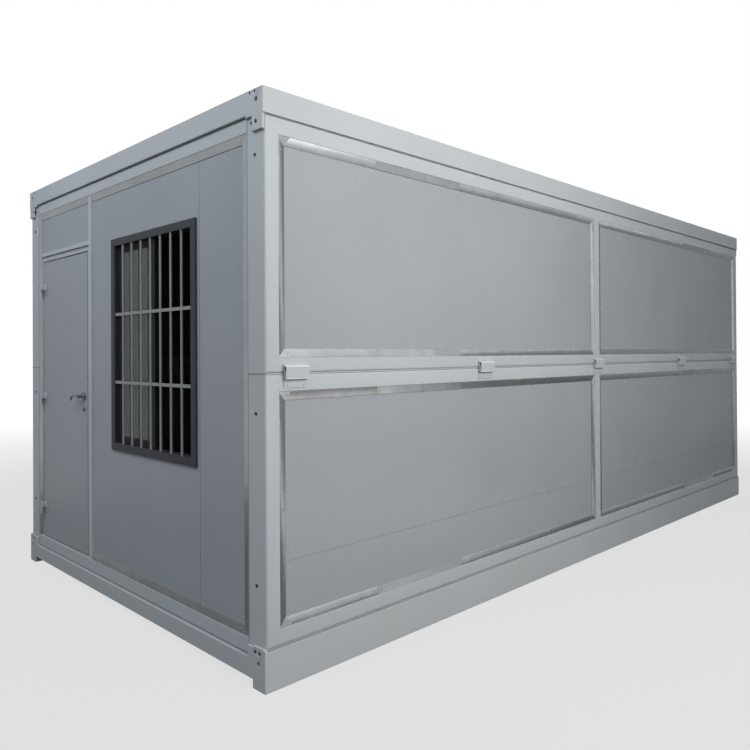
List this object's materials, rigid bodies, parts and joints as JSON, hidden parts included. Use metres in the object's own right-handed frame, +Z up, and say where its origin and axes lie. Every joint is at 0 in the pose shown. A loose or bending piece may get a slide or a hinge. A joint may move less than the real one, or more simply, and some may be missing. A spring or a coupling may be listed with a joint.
{
  "type": "folding container house",
  "caption": "Folding container house with sandwich panel walls, mirror-bright trim strips, a hinged door and a barred sliding window in the front wall.",
  "frame": {"origin": "on the ground under the middle of the base", "axes": "+X along the house from the door end to the rear end, +Y across it towards the left wall, +Z up"},
  "size_m": [5.828, 2.536, 2.45],
  "materials": {
    "frame_paint": "satin light grey enamel",
    "panel_paint": "semi-gloss light grey coated sheet",
    "bright_trim": "polished stainless strip",
    "dark_frame": "satin dark grey powder coat",
    "glass": "clear float glass",
    "steel": "zinc plated steel",
    "underframe": "dark grey primer",
    "floor_board": "sealed plywood",
    "ceiling": "matt white board",
    "handle_metal": "dark bright nickel",
    "guard_paint": "dull pale green grey enamel",
    "seal_rubber": "matt grey rubber"
  },
  "bodies": {
    "house": {"base_side_beams": "frame_paint", "base_end_beams": "frame_paint", "base_corner_fittings": "frame_paint", "floor_cross_members": "underframe", "floor_board": "floor_board", "roof_side_beams": "frame_paint", "roof_end_beams": "frame_paint", "roof_corner_fittings": "frame_paint", "roof_sheet": "panel_paint", "roof_purlins": "underframe", "ceiling_board": "ceiling", "right_wall_lower_frame": "frame_paint", "right_wall_lower_panels": "panel_paint", "right_wall_lower_trim": "bright_trim", "right_wall_upper_frame": "frame_paint", "right_wall_upper_panels": "panel_paint", "right_wall_upper_trim": "bright_trim", "right_wall_fold_hinges": "frame_paint", "left_wall_lower_frame": "frame_paint", "left_wall_lower_panels": "panel_paint", "left_wall_lower_trim": "bright_trim", "left_wall_upper_frame": "frame_paint", "left_wall_upper_panels": "panel_paint", "left_wall_upper_trim": "bright_trim", "left_wall_fold_hinges": "frame_paint", "front_wall_hinge_brackets": "steel", "rear_wall_hinge_brackets": "steel"},
    "front_wall": {"front_wall_frame": "frame_paint", "front_wall_trim": "bright_trim", "front_wall_mullion": "frame_paint", "door_jambs": "frame_paint", "panel_over_door": "panel_paint", "window_panel": "panel_paint", "front_corner_panel": "panel_paint", "window_frame": "dark_frame", "window_sashes": "dark_frame", "window_glass": "glass", "window_guard": "guard_paint", "front_wall_hinge_leaves": "steel", "door_hinge_brackets": "frame_paint"},
    "door": {"door_leaf": "panel_paint", "door_handle": "handle_metal", "door_hinge_leaves": "frame_paint"},
    "rear_wall": {"rear_wall_frame": "frame_paint", "rear_wall_trim": "bright_trim", "rear_wall_panels": "panel_paint", "rear_wall_hinge_leaves": "steel"}
  },
  "joints": [
    {"name": "front_wall_swing", "type": "hinge", "parent": "house", "child": "front_wall", "pos_m": [-2.788, 0, 2.337], "axis": [0, -1, 0], "range_deg": [0, 90]},
    {"name": "door_swing", "type": "hinge", "parent": "front_wall", "child": "door", "pos_m": [-2.896, 1.07, 1], "axis": [0, 0, -1], "range_deg": [0, 90]},
    {"name": "rear_wall_swing", "type": "hinge", "parent": "house", "child": "rear_wall", "pos_m": [2.788, 0, 2.337], "axis": [0, 1, 0], "range_deg": [0, 90]}
  ]
}
